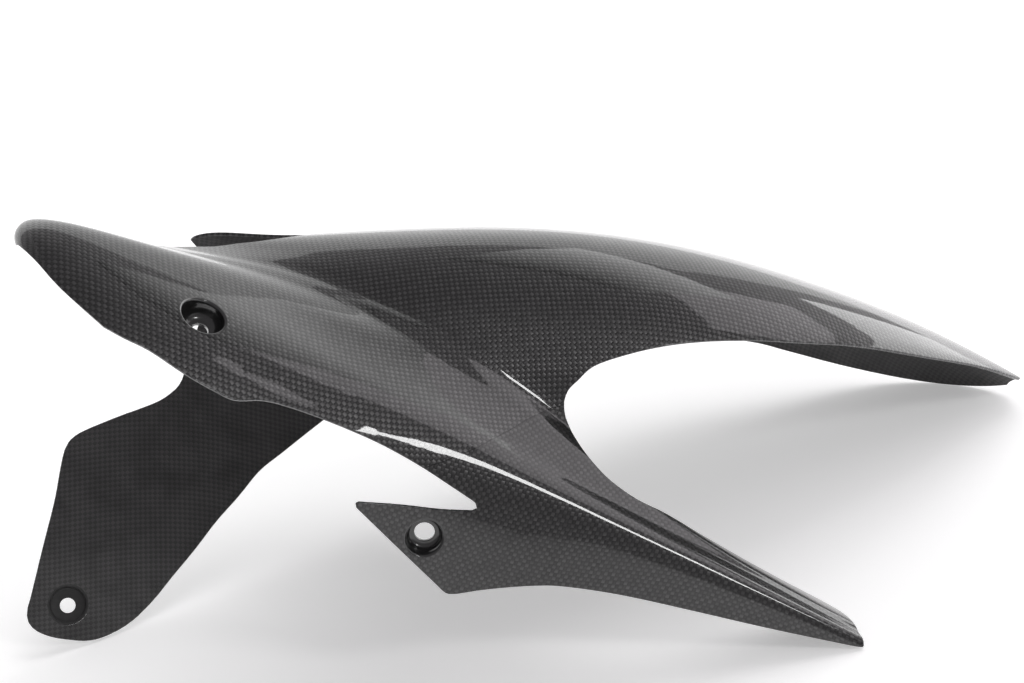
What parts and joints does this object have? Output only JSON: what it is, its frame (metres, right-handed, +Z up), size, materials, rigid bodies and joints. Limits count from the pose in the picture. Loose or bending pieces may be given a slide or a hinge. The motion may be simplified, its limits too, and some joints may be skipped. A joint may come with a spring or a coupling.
{
  "type": "motorcycle rear fender",
  "caption": "Motorcycle rear fender moulded as one thin skin: a long arch over the tyre, a pointed chain guard, a front spar with a sunk bolt seat and a flat side bracket.",
  "frame": {"origin": "middle of the bounding box, on the plane that the three low points stand on", "axes": "+X towards the tail along the length, +Y towards the bracket side, +Z up from the table"},
  "size_m": [0.5887, 0.2897, 0.2616],
  "materials": {
    "carbon_skin": "clear coated woven carbon fibre, matt on the inner faces"
  },
  "bodies": {
    "root": {"fender": "carbon_skin"}
  },
  "joints": []
}
